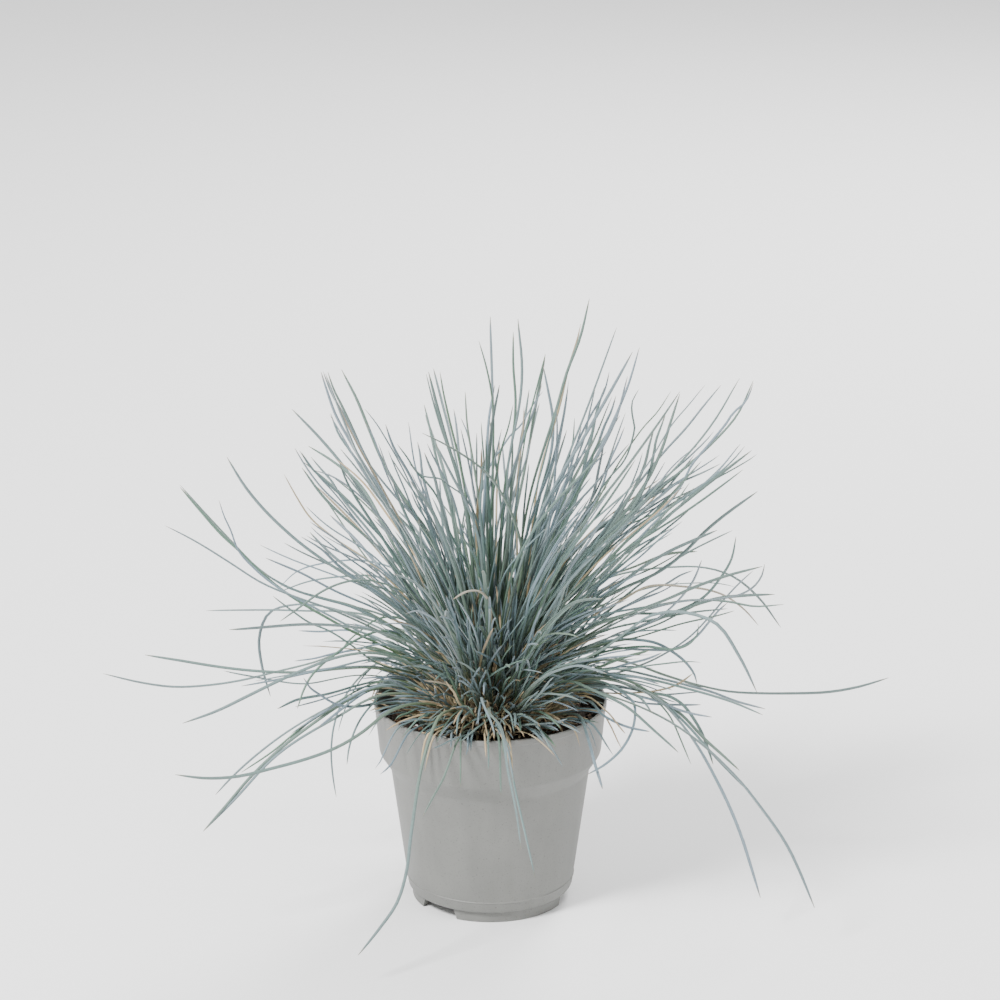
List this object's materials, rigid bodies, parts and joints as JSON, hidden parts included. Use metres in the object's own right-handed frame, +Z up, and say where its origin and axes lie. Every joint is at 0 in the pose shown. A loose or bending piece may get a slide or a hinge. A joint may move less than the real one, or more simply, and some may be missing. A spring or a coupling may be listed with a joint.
{
  "type": "potted blue fescue clump",
  "caption": "Dense clump of stiff, blue-grey needle grass arching out of a small round nursery pot with a tall rim band and a notched foot ring.",
  "frame": {"origin": "centre of the pot's foot on the surface it stands on", "axes": "+Z up, -Y towards the viewer of the picture, +X to that viewer's right"},
  "size_m": [0.3576, 0.3543, 0.2809],
  "materials": {
    "pot_plastic": "matte grey recycled plastic with fine speckle and faint moulding marks",
    "potting_mix": "moist peat and composted bark with a few pale perlite grains",
    "dry_sheath": "papery straw-coloured leaf sheaths",
    "leaf": "matte waxy blue-grey bloom, paler at the base, a few straw-coloured tips"
  },
  "bodies": {
    "root": {"back_tuft": "leaf", "crown": "dry_sheath", "drooping_tuft_1": "leaf", "drooping_tuft_2": "leaf", "drooping_tuft_3": "leaf", "drooping_tuft_4": "leaf", "drooping_tuft_5": "leaf", "drooping_tuft_6": "leaf", "drooping_tuft_7": "leaf", "drooping_tuft_8": "leaf", "drooping_tuft_9": "leaf", "filling_tuft_1": "leaf", "filling_tuft_10": "leaf", "filling_tuft_11": "leaf", "filling_tuft_12": "leaf", "filling_tuft_13": "leaf", "filling_tuft_14": "leaf", "filling_tuft_15": "leaf", "filling_tuft_16": "leaf", "filling_tuft_2": "leaf", "filling_tuft_3": "leaf", "filling_tuft_4": "leaf", "filling_tuft_5": "leaf", "filling_tuft_6": "leaf", "filling_tuft_7": "leaf", "filling_tuft_8": "leaf", "filling_tuft_9": "leaf", "front_tuft": "leaf", "left_tuft_1": "leaf", "left_tuft_10": "leaf", "left_tuft_11": "leaf", "left_tuft_2": "leaf", "left_tuft_3": "leaf", "left_tuft_4": "leaf", "left_tuft_5": "leaf", "left_tuft_6": "leaf", "left_tuft_7": "leaf", "left_tuft_8": "leaf", "left_tuft_9": "leaf", "pot": "pot_plastic", "potting_mix": "potting_mix", "right_tuft_1": "leaf", "right_tuft_2": "leaf", "right_tuft_3": "leaf", "right_tuft_4": "leaf", "right_tuft_5": "leaf", "right_tuft_6": "leaf", "right_tuft_7": "leaf", "right_tuft_8": "leaf", "right_tuft_9": "leaf", "top_tuft_1": "leaf", "top_tuft_2": "leaf", "top_tuft_3": "leaf", "top_tuft_4": "leaf", "top_tuft_5": "leaf", "top_tuft_6": "leaf", "top_tuft_7": "leaf"}
  },
  "joints": []
}
